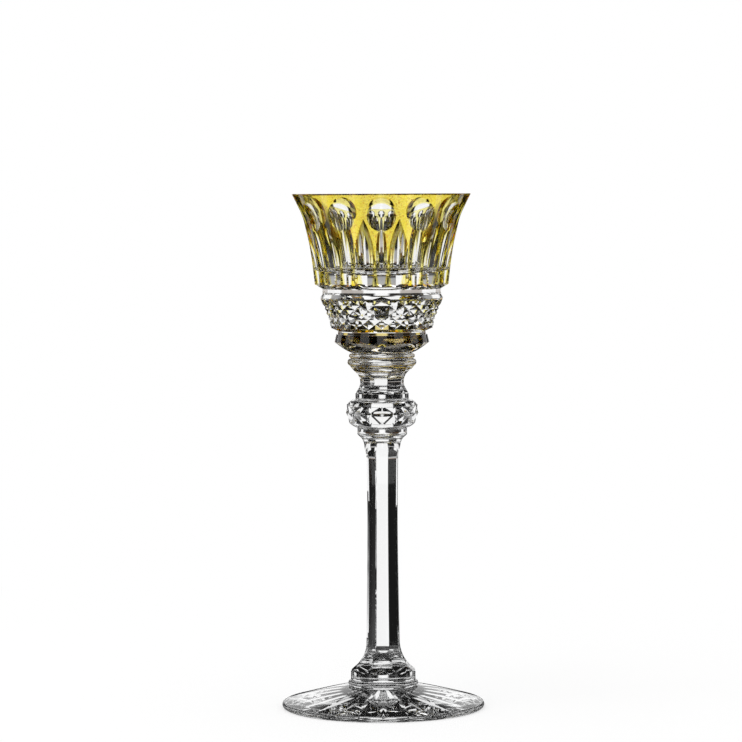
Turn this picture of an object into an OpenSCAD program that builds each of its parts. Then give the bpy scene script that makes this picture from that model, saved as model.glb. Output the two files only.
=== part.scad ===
// Cordial glass in cased cut crystal. A flared bowl with a coloured overlay, cut through to the
// clear glass with thumbprints and pointed flutes, stands over a diamond-cut band, a knopped and
// panelled stem and a foot with a star cut into its underside. +Z is up, and the origin is on the
// axis, in the plane that the foot rests on. The front of the glass faces -Y.

/* [Foot] */
// Radius of the foot
foot_r = 33.5; // [28:0.5:42]
// Thickness of the foot's rounded edge
foot_edge_t = 1.9; // [1.4:0.1:3]
// Rise of the foot's top from its edge to the collar
foot_rise = 5.2; // [4:0.1:9]
// Number of rays in the star under the foot
star_rays = 24; // [12:4:32]
// Depth of the star at its centre
star_depth = 2.4; // [1.2:0.1:3]
// Width of the flat ring outside the star, which the glass stands on
star_margin = 1; // [0.6:0.1:2]

/* [Foot collar] */
// Radius of the collar on the foot
foot_collar_r = 10.7; // [9.5:0.1:13]
// Height of the collar on the foot
foot_collar_h = 5.3; // [3.4:0.1:7]
// Section radius of the bead round the collar's foot
foot_bead_r = 0.9; // [0.4:0.05:1]

/* [Shaft] */
// Height of the shaft between its collars
shaft_h = 78.1; // [60:0.1:110]
// Number of panels cut along the shaft
panel_count = 8; // [6:1:10]
// Distance from the axis to a panel at the shaft's thinnest place
panel_mid = 4.9; // [4.2:0.05:5.1]
// Distance from the axis to a panel above its lower run-out
panel_low = 5.4; // [5:0.05:5.6]
// Distance from the axis to a panel below its upper run-out
panel_high = 5.1; // [4.9:0.05:5.3]
// Height of the thinnest place above the shaft's lower end
panel_mid_rise = 51; // [30:0.1:60]
// Radius of the wheel that cuts both ends of a panel
panel_wheel_r = 12; // [10.5:0.1:16]
// Height of the panels' lower run-out
low_run = 9.5; // [8:0.1:10]
// Height of the panels' upper run-out
high_run = 8.3; // [7:0.1:10]
// Height of the round flare above the foot collar
low_flare_h = 6.6; // [5:0.1:8]
// Height of the round flare under the stem collar
high_flare_h = 5.9; // [4.5:0.1:7]
// Radius of the round shaft above its lower flare
shaft_low_r = 6.3; // [6.1:0.05:6.8]
// Radius of the round shaft below its upper flare
shaft_high_r = 5.9; // [5.7:0.05:6.4]

/* [Stem collar] */
// Radius of the collar between shaft and knop
stem_collar_r = 8.2; // [7.2:0.1:9]
// Height of the collar between shaft and knop
stem_collar_h = 2.3; // [1.5:0.1:4]

/* [Knop] */
// Radius of the knop
knop_r = 12.6; // [11:0.1:14]
// Height of the knop
knop_h = 9.5; // [8:0.1:12]
// Radius of the knop's lower neck, inside the stem collar
knop_low_r = 7.4; // [6.5:0.1:8.1]
// Radius of the neck between knop and baluster
knop_top_r = 8.8; // [7.8:0.1:9.5]
// Number of diamonds round the knop
knop_diamonds = 10; // [8:1:14]
// Depth of the cuts where they cross on the knop
knop_cut = 1.2; // [0.4:0.05:1.5]

/* [Baluster] */
// Height of the baluster
baluster_h = 11; // [10:0.1:15]
// Height of the baluster's waist above its lower end
waist_rise = 5.7; // [5:0.1:6.5]
// Height of the straight neck at the baluster's lower end
neck_h = 1.9; // [1:0.1:3]
// Radius of the baluster's waist before its panels are cut
waist_r = 7.6; // [6.8:0.05:7.8]
// Radius of the baluster's upper end
baluster_top_r = 10.6; // [10:0.1:11.2]
// Distance from the axis to a panel at the baluster's waist
waist_panel = 6.8; // [6.2:0.05:6.9]
// Radius of the wheel that cuts the baluster's panels
waist_wheel_r = 4.6; // [4.5:0.1:5.2]

/* [Merese] */
// Height of the double ring over the baluster
merese_h = 4.3; // [3.2:0.1:5]
// Radius of the lower ring
low_ring_r = 11.4; // [10.5:0.1:12.5]
// Radius of the upper ring
high_ring_r = 10.9; // [10:0.1:12]
// Radius of the neck between merese and bowl
bowl_neck_r = 9.9; // [8.5:0.1:10]

/* [Bowl base] */
// Height of the clear underside of the bowl
boss_h = 3.6; // [2.5:0.1:6]
// Height of the coloured disc
disc_h = 2.6; // [1.8:0.1:4]
// How far the disc's upper edge stands out from the clear step over it
disc_out = 0.55; // [0.55:0.05:1.5]
// How much wider the disc is at its lower edge than at its upper edge
disc_taper = 0.6; // [0.2:0.05:1.5]

/* [Bowl] */
// Radius of the rim
rim_r = 29.6; // [26:0.1:34]
// Radius of the shoulder under the fluted wall
shoulder_r = 22.1; // [21.3:0.1:23.5]
// Height of the fluted wall from shoulder to rim
flare_h = 29.7; // [26:0.1:36]
// Height of the bevel under the shoulder
bevel_h = 1.5; // [1:0.1:3]
// How far the bevel draws in under the shoulder
bevel_in = 2.5; // [1.5:0.1:3.5]
// Height of the clear throat between the bevel and the strip over the diamonds
throat_h = 1.8; // [1:0.1:3]
// Thickness of the coloured overlay
casing_t = 0.35; // [0.3:0.05:0.7]
// Thickness of the whole wall at the rim
rim_wall = 1.4; // [1.2:0.05:2]
// Thickness of the whole wall at the shoulder
shoulder_wall = 3.4; // [2.6:0.1:4]
// Width of the ground bevel on the rim
rim_bevel = 0.2; // [0.1:0.05:0.3]
// Height above the shoulder at which the hollow begins to round off
hollow_turn = 6; // [3:0.1:8]
// Depth of the hollow's rounded bottom
hollow_depth = 2.8; // [2:0.1:10]

/* [Bowl cuts] */
// Number of thumbprints, and of the wide flutes between them
thumb_count = 12; // [8:1:14]
// Width of a thumbprint
thumb_d = 9.3; // [7:0.1:10]
// Radius of the wheel that cuts a thumbprint
thumb_wheel_r = 14; // [12:0.5:18]
// Radius of that wheel's rounded edge
thumb_edge_r = 9.6; // [9:0.1:11]
// Height of the thumbprints' centres under the rim
thumb_drop = 7.4; // [6:0.1:9]
// Depth of a wide flute at the shoulder
wide_cut = 1.4; // [1:0.05:1.6]
// Height of the wide flutes' points under the rim
wide_drop = 10.3; // [9:0.1:14]
// Depth of a narrow flute at the shoulder
narrow_cut = 0.75; // [0.75:0.05:1]
// How far a narrow flute's point lies under the centre of the thumbprint that it runs into
narrow_reach = 0.3; // [0.1:0.1:5]
// Half width of a narrow flute at the shoulder
narrow_half = 1.45; // [1.2:0.05:2.2]
// How far over the uncut wall two neighbouring flutes would meet, which leaves a strip of colour
ridge_rise = 0.13; // [0.04:0.01:0.2]

/* [Diamond band] */
// Height of the clear step between disc and band
step_h = 2.1; // [1:0.1:3]
// How far the step is drawn in under the band
step_in = 2.4; // [1.5:0.1:3]
// Height of the diamond-cut band
band_h = 9.4; // [8:0.1:13]
// How much wider the band is at its upper edge than at its lower edge
band_spread = 3.35; // [2.5:0.05:4.5]
// Number of diamonds round the band
band_diamonds = 24; // [16:2:36]
// Number of rows in which the band's cuts cross
band_rows = 6; // [4:2:8]
// Depth of the cuts where they cross on the band
band_cut = 0.9; // [0.4:0.05:1.2]
// Height of the plain strip above the diamonds
strip_h = 1.7; // [1.2:0.1:3]
// How far the strip stands out from the throat
strip_out = 0.65; // [0.3:0.05:1.2]

/* [Hidden] */

// Facets of round surfaces, and steps of a curved outline
$fn = 96;
curve_steps = 12;
arc_steps = 6;
flute_steps = 8;
// How far a cutter reaches past the surface that it cuts
over = 0.3;
// How far a flute's cutter reaches past the wall where the flute is deepest
flute_over = 0.1;
// How far the points of the diamonds lie under the surface that they are cut from
cut_skin = 0.06;
// Turn of the front, which faces -Y, and of each run of panels from it
front = -90;
shaft_turn = -3;
waist_turn = -10;

// Heights, from the table up
foot_top = foot_edge_t + foot_rise;
shaft_z = foot_top + foot_collar_h;
collar_z = shaft_z + shaft_h;
knop_z = collar_z + stem_collar_h;
baluster_z = knop_z + knop_h;
merese_z = baluster_z + baluster_h;
boss_z = merese_z + merese_h;
disc_z = boss_z + boss_h;
step_z = disc_z + disc_h;
band_z = step_z + step_h;
strip_z = band_z + band_h;
throat_z = strip_z + strip_h;
bevel_z = throat_z + throat_h;
shoulder_z = bevel_z + bevel_h;
rim_z = shoulder_z + flare_h;

// Radii of the bowl under its shoulder, from the shoulder down
bevel_low_r = shoulder_r - bevel_in;
band_top_r = bevel_low_r + strip_out;
band_low_r = band_top_r - band_spread;
step_r = band_low_r - step_in;
disc_top_r = step_r + disc_out;
disc_r = disc_top_r + disc_taper;

// Heights of the flutes' points above the shoulder
wide_rise = flare_h - wide_drop;
narrow_rise = flare_h - thumb_drop - narrow_reach;

// Exponents and shares that give the curves their form
foot_crown = 1.15;
low_flare_power = 1.8;
high_flare_power = 4;
panel_power = 1.5;
knop_power = 1.5;
waist_power = 1.5;
wall_power = 1.15;
band_power = 1.25;
boss_power = 1.3;
flare_power = 3;
flare_straight_share = 0.42;
knop_mid_share = 0.55;
star_waist_share = 0.52;
strip_fall_share = 0.7;
bead_shares = [0.3, 0.18];
knop_row_shares = [0.79, 0.55, 0.19];
knop_cut_shares = [0.2, 1, 0.2];
end_cut_share = 0.2;

// Radius of the quarter of an oval that shrinks from full to zero as s goes from 0 to 1
function oval(s, power) = pow(max(0, 1 - pow(s, power)), 1 / 2);
// Distance that a wheel of radius r has risen from the bottom of its cut at the distance d
function wheel_rise(r, d) = r - sqrt(max(0, r * r - d * d));

// Outline of the fluted wall: the share u goes from the shoulder to the rim
function flare(u) = shoulder_r + (rim_r - shoulder_r)
    * (flare_straight_share * u + (1 - flare_straight_share) * pow(u, flare_power));
function flare_slope(u) = (rim_r - shoulder_r) / flare_h
    * (flare_straight_share + (1 - flare_straight_share) * flare_power * pow(u, flare_power - 1));
function wall(u) = rim_wall + (shoulder_wall - rim_wall) * pow(1 - u, wall_power);
steps_up = [for (i = [0:curve_steps]) i / curve_steps];
steps_down = [for (i = [curve_steps:-1:0]) i / curve_steps];
turn_u = hollow_turn / flare_h;
hollow_r = flare(turn_u) - wall(turn_u);

// A flute is the V that a large wheel leaves when its rim passes the shoulder at the given depth
// and comes out of the wall at the given rise. These give the wheel's radius, and the radius of
// the flute's bottom at the distance d above the shoulder.
function flute_wheel(depth, rise) = let (climb = flare(rise / flare_h) - (shoulder_r - depth))
    (rise * rise + climb * climb) / (2 * climb);
function flute_r(depth, rise, d) = shoulder_r - depth + wheel_rise(flute_wheel(depth, rise), d);

// Spread of the V: half its width over its depth. The wide flutes' V is worked out where they are
// deepest, so that a narrow strip of the overlay stays between them and the narrow ones.
narrow_spread = narrow_half / (narrow_cut - wheel_rise(shoulder_r, narrow_half));
deep_d = flute_wheel(wide_cut, wide_rise) * sin(atan(flare_slope(0)));
ridge_r = flare(deep_d / flare_h) + ridge_rise;
narrow_bottom = flute_r(narrow_cut, narrow_rise, deep_d);
ridge_reach = sqrt((1 + pow(narrow_spread, 2)) * pow(ridge_r, 2)
    - pow(narrow_spread * narrow_bottom, 2));
ridge_half = narrow_spread * (ridge_reach - narrow_bottom) / (1 + pow(narrow_spread, 2));
ridge_turn = 180 / thumb_count - asin(ridge_half / ridge_r);
wide_spread = ridge_r * sin(ridge_turn)
    / (ridge_r * cos(ridge_turn) - flute_r(wide_cut, wide_rise, deep_d));

// Radius of the band's uncut surface at a share u of its height
function band_r(u) = band_low_r + (band_top_r - band_low_r) * pow(u, band_power);
// Radius of the knop's uncut surface at a share t of its height
function knop_surface(t) = t > knop_mid_share
    ? knop_top_r + (knop_r - knop_top_r) * oval((t - knop_mid_share) / (1 - knop_mid_share), knop_power)
    : knop_low_r + (knop_r - knop_low_r) * oval((knop_mid_share - t) / knop_mid_share, knop_power);

// Foot and stem outlines, as radius and height
foot_cone_r = foot_r - foot_edge_t / 2;
foot_seat_r = foot_collar_r + foot_bead_r;
function foot_surface(u) = foot_edge_t + foot_rise * (1 - pow(u, foot_crown));
foot_outline = concat(
    [[0, 0], [foot_cone_r, 0]],
    [for (i = [-arc_steps + 1:arc_steps - 1]) let (a = 90 * i / arc_steps)
        [foot_cone_r + foot_edge_t / 2 * cos(a), foot_edge_t / 2 * (1 + sin(a))]],
    [for (u = steps_down) [foot_seat_r + (foot_cone_r - foot_seat_r) * u, foot_surface(u)]],
    [[0, foot_top]]);
shaft_outline = concat(
    [[0, shaft_z]],
    [for (u = steps_up) [shaft_low_r + (foot_collar_r - shaft_low_r) * pow(1 - u, low_flare_power),
        shaft_z + low_flare_h * u]],
    [for (u = steps_up) [shaft_high_r + (stem_collar_r - shaft_high_r) * pow(u, high_flare_power),
        collar_z - high_flare_h * (1 - u)]],
    [[0, collar_z]]);
knop_outline = concat(
    [[0, knop_z]],
    [for (i = [0:2 * curve_steps]) let (t = i / (2 * curve_steps))
        [knop_surface(t), knop_z + knop_h * t]],
    [[0, baluster_z]]);
waist_z = baluster_z + waist_rise;
baluster_outline = concat(
    [[0, baluster_z], [knop_top_r, baluster_z]],
    [for (u = steps_down) [waist_r + (knop_top_r - waist_r) * u * u,
        waist_z - (waist_rise - neck_h) * u]],
    [for (u = steps_up) [waist_r + (baluster_top_r - waist_r) * pow(u, waist_power),
        waist_z + (baluster_h - waist_rise) * u]],
    [[0, merese_z]]);
boss_outline = concat(
    [[0, boss_z]],
    [for (u = steps_up) [bowl_neck_r + (disc_r - bowl_neck_r) * u, boss_z + boss_h * pow(u, boss_power)]],
    [[0, disc_z]]);

// Profile of one shaft panel, from below the foot collar's edge to above the stem collar's
mid_z = shaft_z + panel_mid_rise;
low_z = shaft_z + low_run;
high_z = collar_z - high_run;
wheel_reach = panel_wheel_r - over;
panel_path = concat(
    [for (i = [arc_steps * 2:-1:1]) let (d = wheel_reach * i / (arc_steps * 2))
        [panel_low + wheel_rise(panel_wheel_r, d), low_z - d]],
    [for (i = [0:arc_steps]) let (u = 1 - i / arc_steps)
        [panel_mid + (panel_low - panel_mid) * pow(u, panel_power), mid_z - (mid_z - low_z) * u]],
    [for (i = [1:arc_steps]) let (u = i / arc_steps)
        [panel_mid + (panel_high - panel_mid) * pow(u, panel_power), mid_z + (high_z - mid_z) * u]],
    [for (i = [1:arc_steps * 2]) let (d = wheel_reach * i / (arc_steps * 2))
        [panel_high + wheel_rise(panel_wheel_r, d), high_z + d]]);
panel_far = panel_wheel_r + foot_collar_r;
panel_cutter = concat(panel_path,
    [[panel_far, high_z + wheel_reach], [panel_far, low_z - wheel_reach]]);

// Casing and lining share this line of points, so that the overlay lies on the clear glass
inner_shoulder_z = shoulder_z - casing_t * bevel_h / bevel_in;
interface = concat(
    [[shoulder_r - casing_t, inner_shoulder_z]],
    [for (u = steps_up) [flare(u) - casing_t, shoulder_z + flare_h * u]]);
disc_floor_z = disc_z + casing_t;
disc_in_r = disc_r - casing_t;
disc_in_top_r = disc_top_r - casing_t;

// Turns a list of evenly spaced copies round the axis, the first at the front
module around(count, turn = 0) {
    for (i = [0:count - 1])
        rotate([0, 0, front + turn + 360 * i / count])
            children();
}

// Body that is turned from an outline
module turned(outline) {
    rotate_extrude()
        polygon(outline);
}

// Flat or hollow panels that a wheel leaves along the shaft, as a cutter
module shaft_panels() {
    around(panel_count, shaft_turn)
        rotate([90, 0, 0])
            translate([0, 0, -foot_collar_r])
                linear_extrude(2 * foot_collar_r)
                    polygon(panel_cutter);
}

// One pointed flute, from below the shoulder to past its point
module flute(depth, rise, spread) {
    low = -bevel_h - over;
    high = rise + bevel_h;
    stations = [for (i = [0:flute_steps]) let (d = low + (high - low) * i / flute_steps)
        [flute_r(depth, rise, d), shoulder_z + d]];
    bite = flute_over + max([for (s = stations) flare((s[1] - shoulder_z) / flare_h) - s[0]]);
    last = 3 * flute_steps;
    polyhedron(
        [for (s = stations, side = [0, 1, -1])
            [s[0] + abs(side) * bite, side * bite * spread, s[1]]],
        concat([[0, 2, 1], [last, last + 1, last + 2]],
            [for (i = [0:flute_steps - 1], side = [0:2]) let (next = (side + 1) % 3)
                [3 * i + side, 3 * i + next, 3 * i + 3 + next, 3 * i + 3 + side]]));
}

// The wheel of one round thumbprint, with its axis along the slope of the wall
module thumb_wheel() {
    u = 1 - thumb_drop / flare_h;
    tilt = atan(flare_slope(u));
    dish = wheel_rise(thumb_wheel_r, thumb_d / 2) + wheel_rise(flare(u), thumb_d / 2);
    translate([flare(u) + (thumb_wheel_r - dish) * cos(tilt), 0,
        rim_z - thumb_drop - (thumb_wheel_r - dish) * sin(tilt)])
        rotate([0, tilt, 0])
            rotate_extrude()
                intersection() {
                    translate([thumb_wheel_r - thumb_edge_r, 0])
                        circle(thumb_edge_r);
                    translate([0, -thumb_edge_r])
                        square([thumb_wheel_r, 2 * thumb_edge_r]);
                }
}

// Every second thumbprint's wheel, as neighbouring wheels would meet
module thumb_wheels(first) {
    for (i = [first:2:thumb_count - 1])
        rotate([0, 0, front + 360 * i / thumb_count])
            thumb_wheel();
}

// Body with every cut of the coloured wall, which goes through the overlay into the clear glass
module with_wall_cuts() {
    difference() {
        difference() {
            difference() {
                difference() {
                    children();
                    around(thumb_count, 180 / thumb_count)
                        flute(wide_cut, wide_rise, wide_spread);
                }
                around(thumb_count)
                    flute(narrow_cut, narrow_rise, narrow_spread);
            }
            thumb_wheels(0);
        }
        thumb_wheels(1);
    }
}

// Ring that cuts crossed V grooves into a round body and leaves pointed diamonds. Each row has a
// height, an uncut radius and a depth where two grooves cross. Crossings and points take turns
// round a row and from row to row, and the first row has a crossing at the front.
module diamond_cutter(heights, radii, cuts, count, outer_r) {
    sides = 2 * count;
    rows = len(heights);
    function spot(r, j, z) = [r * cos(front + 360 * j / sides), r * sin(front + 360 * j / sides), z];
    inner = [for (k = [0:rows - 1], j = [0:sides - 1])
        spot(radii[k] - ((k + j) % 2 == 0 ? cuts[k] : cut_skin), j, heights[k])];
    outer = [for (k = [0, rows - 1], j = [0:sides - 1]) spot(outer_r, j, heights[k])];
    base = rows * sides;
    function at(k, j) = k * sides + j % sides;
    function rim(k, j) = base + k * sides + j % sides;
    // A cell is halved from crossing to crossing, along the bottom of its groove
    facets = [for (k = [0:rows - 2], j = [0:sides - 1]) let (even = (k + j) % 2 == 0)
        each even
            ? [[at(k, j), at(k + 1, j + 1), at(k, j + 1)], [at(k, j), at(k + 1, j), at(k + 1, j + 1)]]
            : [[at(k, j), at(k + 1, j), at(k, j + 1)], [at(k, j + 1), at(k + 1, j), at(k + 1, j + 1)]]];
    top = [for (j = [0:sides - 1]) [at(0, j + 1), rim(0, j + 1), rim(0, j), at(0, j)]];
    side = [for (j = [0:sides - 1]) [rim(0, j + 1), rim(1, j + 1), rim(1, j), rim(0, j)]];
    low = rows - 1;
    bottom = [for (j = [0:sides - 1]) [at(low, j), rim(1, j), rim(1, j + 1), at(low, j + 1)]];
    polyhedron(concat(inner, outer), concat(facets, top, side, bottom));
}

module foot() {
    star_tip_r = foot_cone_r - star_margin;
    grow = (star_depth + over) / star_depth;
    color("gainsboro")
        difference() {
            turned(foot_outline);
            polyhedron(
                concat([[0, 0, star_depth]],
                    [for (j = [0:2 * star_rays - 1]) let (a = front + 180 * j / star_rays,
                        r = grow * star_tip_r * (j % 2 == 0 ? 1 : star_waist_share))
                        [r * cos(a), r * sin(a), -over]]),
                concat([for (j = [0:2 * star_rays - 1]) [0, 1 + (j + 1) % (2 * star_rays), 1 + j]],
                    [[for (j = [0:2 * star_rays - 1]) 1 + j]]));
        }
}

module foot_collar() {
    color("gainsboro")
        difference() {
            union() {
                translate([0, 0, foot_top])
                    cylinder(h = foot_collar_h, r = foot_collar_r);
                translate([0, 0, foot_top])
                    rotate_extrude()
                        intersection() {
                            translate([foot_collar_r, foot_bead_r])
                                circle(foot_bead_r);
                            square([foot_seat_r, 2 * foot_bead_r]);
                        }
            }
            shaft_panels();
        }
}

module stem_shaft() {
    color("whitesmoke")
        difference() {
            turned(shaft_outline);
            shaft_panels();
        }
}

module stem_collar() {
    color("gainsboro")
        translate([0, 0, collar_z])
            cylinder(h = stem_collar_h, r = stem_collar_r);
}

module diamond_knop() {
    color("whitesmoke")
        difference() {
            turned(knop_outline);
            diamond_cutter(
                [for (t = knop_row_shares) knop_z + knop_h * t],
                [for (t = knop_row_shares) knop_surface(t)],
                knop_cut * knop_cut_shares, knop_diamonds, knop_r + over);
        }
}

module baluster() {
    color("gainsboro")
        difference() {
            turned(baluster_outline);
            around(panel_count, waist_turn)
                translate([waist_panel + waist_wheel_r, 0, waist_z])
                    rotate([90, 0, 0])
                        translate([0, 0, -baluster_top_r])
                            cylinder(h = 2 * baluster_top_r, r = waist_wheel_r);
        }
}

module merese() {
    bead_low = merese_h * bead_shares[0];
    bead_high = merese_h * bead_shares[1];
    color("wheat")
        translate([0, 0, merese_z])
            rotate_extrude() {
                square([bowl_neck_r, merese_h]);
                translate([low_ring_r - bead_low, bead_low])
                    circle(bead_low);
                square([low_ring_r - bead_low, 2 * bead_low]);
                translate([high_ring_r - bead_high, 2 * bead_low + bead_high])
                    circle(bead_high);
                square([high_ring_r - bead_high, 2 * (bead_low + bead_high)]);
            }
}

module bowl_boss() {
    color("gainsboro")
        turned(boss_outline);
}

module base_casing() {
    color("saddlebrown")
        turned([[0, disc_z], [disc_r, disc_z], [disc_top_r, step_z], [disc_in_top_r, step_z],
            [disc_in_r, disc_floor_z], [0, disc_floor_z]]);
}

module bowl_lining() {
    row_shares = [for (k = [0:band_rows]) 1 - k / band_rows];
    color("whitesmoke")
        with_wall_cuts() difference() {
            turned(concat(
                [[0, disc_floor_z], [disc_in_r, disc_floor_z], [disc_in_top_r, step_z],
                    [step_r, step_z], [step_r, step_z + step_h / 2]],
                [for (u = steps_up) [band_r(u), band_z + band_h * u]],
                [[band_top_r, throat_z - strip_h * strip_fall_share], [bevel_low_r, throat_z],
                    [bevel_low_r, bevel_z]],
                interface,
                [[rim_r - rim_wall + rim_bevel, rim_z],
                    [rim_r - rim_wall, rim_z - rim_bevel]],
                [for (i = [curve_steps - 1:-1:0]) let (u = turn_u + (1 - turn_u) * i / curve_steps)
                    [flare(u) - wall(u), shoulder_z + flare_h * u]],
                [for (i = [1:curve_steps]) let (a = 90 * i / curve_steps)
                    [hollow_r * cos(a), shoulder_z + hollow_turn - hollow_depth * sin(a)]]));
            diamond_cutter(
                [for (u = row_shares) band_z + band_h * u],
                [for (u = row_shares) band_r(u)],
                [for (u = row_shares) band_cut * (u == 0 || u == 1 ? end_cut_share : 1)],
                band_diamonds, band_top_r + over);
        }
}

module colour_casing() {
    outer = [for (u = steps_down) [flare(u), shoulder_z + flare_h * u]];
    color("gold")
        with_wall_cuts()
            turned(concat(
                interface,
                [[rim_r - rim_bevel, rim_z], [flare(1 - rim_bevel / flare_h), rim_z - rim_bevel]],
                [for (i = [1:curve_steps]) outer[i]]));
}

foot();
foot_collar();
stem_shaft();
stem_collar();
diamond_knop();
baluster();
merese();
bowl_boss();
base_casing();
bowl_lining();
colour_casing();
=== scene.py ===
# Cordial glass in cased cut crystal. Each gather of glass is one piece, modelled as half of one
# repeat of its cuts and carried round the axis by a node tree, so that every groove has its true
# edge and the light bends through real cut surfaces. Sizes here are in millimetres.
import math

import bpy
import numpy as np
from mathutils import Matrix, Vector


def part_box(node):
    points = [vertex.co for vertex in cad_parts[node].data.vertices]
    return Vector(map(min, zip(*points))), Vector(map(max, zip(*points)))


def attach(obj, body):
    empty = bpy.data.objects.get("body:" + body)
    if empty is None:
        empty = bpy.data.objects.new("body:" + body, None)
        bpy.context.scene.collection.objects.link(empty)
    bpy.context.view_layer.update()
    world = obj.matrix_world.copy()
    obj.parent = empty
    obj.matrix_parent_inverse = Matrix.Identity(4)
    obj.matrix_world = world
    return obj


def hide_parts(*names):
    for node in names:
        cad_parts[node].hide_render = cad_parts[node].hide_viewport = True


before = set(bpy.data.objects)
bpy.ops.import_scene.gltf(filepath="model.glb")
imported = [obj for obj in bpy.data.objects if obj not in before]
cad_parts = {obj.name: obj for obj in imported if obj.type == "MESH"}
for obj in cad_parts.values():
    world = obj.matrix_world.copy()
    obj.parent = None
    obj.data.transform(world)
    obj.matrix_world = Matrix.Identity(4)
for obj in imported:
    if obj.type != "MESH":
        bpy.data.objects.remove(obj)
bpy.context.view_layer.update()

MM = 0.001
FRONT = -math.pi / 2
WELD = 1e-7
ON_AXIS = 1e-9
ANGLE_DIGITS = 9
LENGTH_DIGITS = 6
SHARP_ANGLE = math.radians(20)


def low(node):
    """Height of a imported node's lowest point."""
    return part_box(node)[0].z / MM


def top(node):
    """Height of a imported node's highest point."""
    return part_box(node)[1].z / MM


# Heights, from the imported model
foot_top = top("foot")
shaft_z = low("stem_shaft")
collar_z = low("stem_collar")
knop_z = low("diamond_knop")
baluster_z = low("baluster")
merese_z = low("merese")
boss_z = low("bowl_boss")
disc_z = low("base_casing")
step_z = top("base_casing")
rim_z = top("bowl_lining")

# Foot
foot_r = 33.5
foot_edge_t = 1.9
foot_crown = 1.15
star_rays = 24
star_depth = 2.4
star_margin = 1
star_waist_share = 0.52
foot_collar_r = 10.7
foot_bead_r = 0.9

# Shaft
panel_count = 8
shaft_turn = math.radians(-3)
panel_mid = 4.9
panel_low = 5.4
panel_high = 5.1
panel_mid_rise = 51
panel_wheel_r = 12
panel_power = 1.5
low_run = 9.5
high_run = 8.3
low_flare_h = 6.6
high_flare_h = 5.9
low_flare_power = 1.8
high_flare_power = 4
shaft_low_r = 6.3
shaft_high_r = 5.9

# Stem collar and knop
stem_collar_r = 8.2
knop_r = 12.6
knop_low_r = 7.4
knop_top_r = 8.8
knop_diamonds = 10
knop_cut = 1.2
knop_power = 1.5
knop_mid_share = 0.55
knop_row_shares = [0.79, 0.55, 0.19]
knop_cut_shares = [0.2, 1, 0.2]
cut_skin = 0.06

# Baluster and merese
waist_turn = math.radians(-10)
waist_rise = 5.7
neck_h = 1.9
waist_r = 7.6
waist_power = 1.5
baluster_top_r = 10.6
waist_panel = 6.8
waist_wheel_r = 4.6
low_ring_r = 11.4
high_ring_r = 10.9
bowl_neck_r = 9.9
bead_shares = [0.3, 0.18]

# Bowl
boss_power = 1.3
disc_r = 15.65
disc_top_r = 15.05
step_h = 2.1
step_r = 14.5
band_h = 9.4
band_low_r = 16.9
band_top_r = 20.25
band_power = 1.25
band_diamonds = 24
band_rows = 6
band_cut = 0.9
end_cut_share = 0.2
strip_h = 1.7
strip_fall_share = 0.7
throat_h = 1.8
bevel_h = 1.5
bevel_low_r = 19.6
shoulder_r = 22.1
rim_r = 29.6
casing_t = 0.35
rim_wall = 1.4
shoulder_wall = 3.4
wall_power = 1.15
rim_bevel = 0.2
hollow_turn = 6
hollow_depth = 2.8
flare_straight_share = 0.42
flare_power = 3

# Cuts of the bowl. Each spread lets the flutes end in a point at their rise.
thumb_count = 12
thumb_d = 9.3
thumb_wheel_r = 14
thumb_edge_r = 9.6
thumb_drop = 7.4
thumb_walk = 60
wide_cut = 1.4
wide_rise = 19.4
wide_spread = 2.51575
narrow_cut = 0.75
narrow_rise = 22
narrow_spread = 2.06441

band_z = step_z + step_h
strip_z = band_z + band_h
throat_z = strip_z + strip_h
bevel_z = throat_z + throat_h
shoulder_z = bevel_z + bevel_h
flare_h = rim_z - shoulder_z


# Curves that the pieces are turned and cut to

def oval(share, power):
    return np.sqrt(np.maximum(0, 1 - share ** power))


def wheel_rise(radius, distance):
    """How far a wheel has risen from the bottom of its cut at a distance along it."""
    return radius - np.sqrt(np.maximum(0, radius ** 2 - distance ** 2))


def flare(z):
    """Radius of the fluted wall before it is cut, and of the bevel under its shoulder."""
    u = (z - shoulder_z) / flare_h
    wall = shoulder_r + (rim_r - shoulder_r) * (
        flare_straight_share * u + (1 - flare_straight_share) * np.maximum(u, 0) ** flare_power)
    bevel = shoulder_r + (shoulder_r - bevel_low_r) * (z - shoulder_z) / bevel_h
    return np.where(u < 0, bevel, wall)


def overlay_face(z):
    """Radius at which the coloured overlay lies on the clear glass."""
    return np.where(z < shoulder_z, shoulder_r, flare(z)) - casing_t


def hollow(z):
    """Radius of the bowl's hollow above the shoulder."""
    u = (z - shoulder_z) / flare_h
    return flare(z) - rim_wall - (shoulder_wall - rim_wall) * (1 - u) ** wall_power


def flute(depth, rise, spread, angle):
    """Surface of one plane of a pointed flute that lies at the given angle."""
    climb = float(flare(shoulder_z + rise)) - (shoulder_r - depth)
    wheel_r = (rise ** 2 + climb ** 2) / (2 * climb)

    def surface(t, z):
        bottom = shoulder_r - depth + wheel_rise(wheel_r, z - shoulder_z)
        return bottom / (np.cos(t - angle) - np.abs(np.sin(t - angle)) / spread)
    return surface


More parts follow.
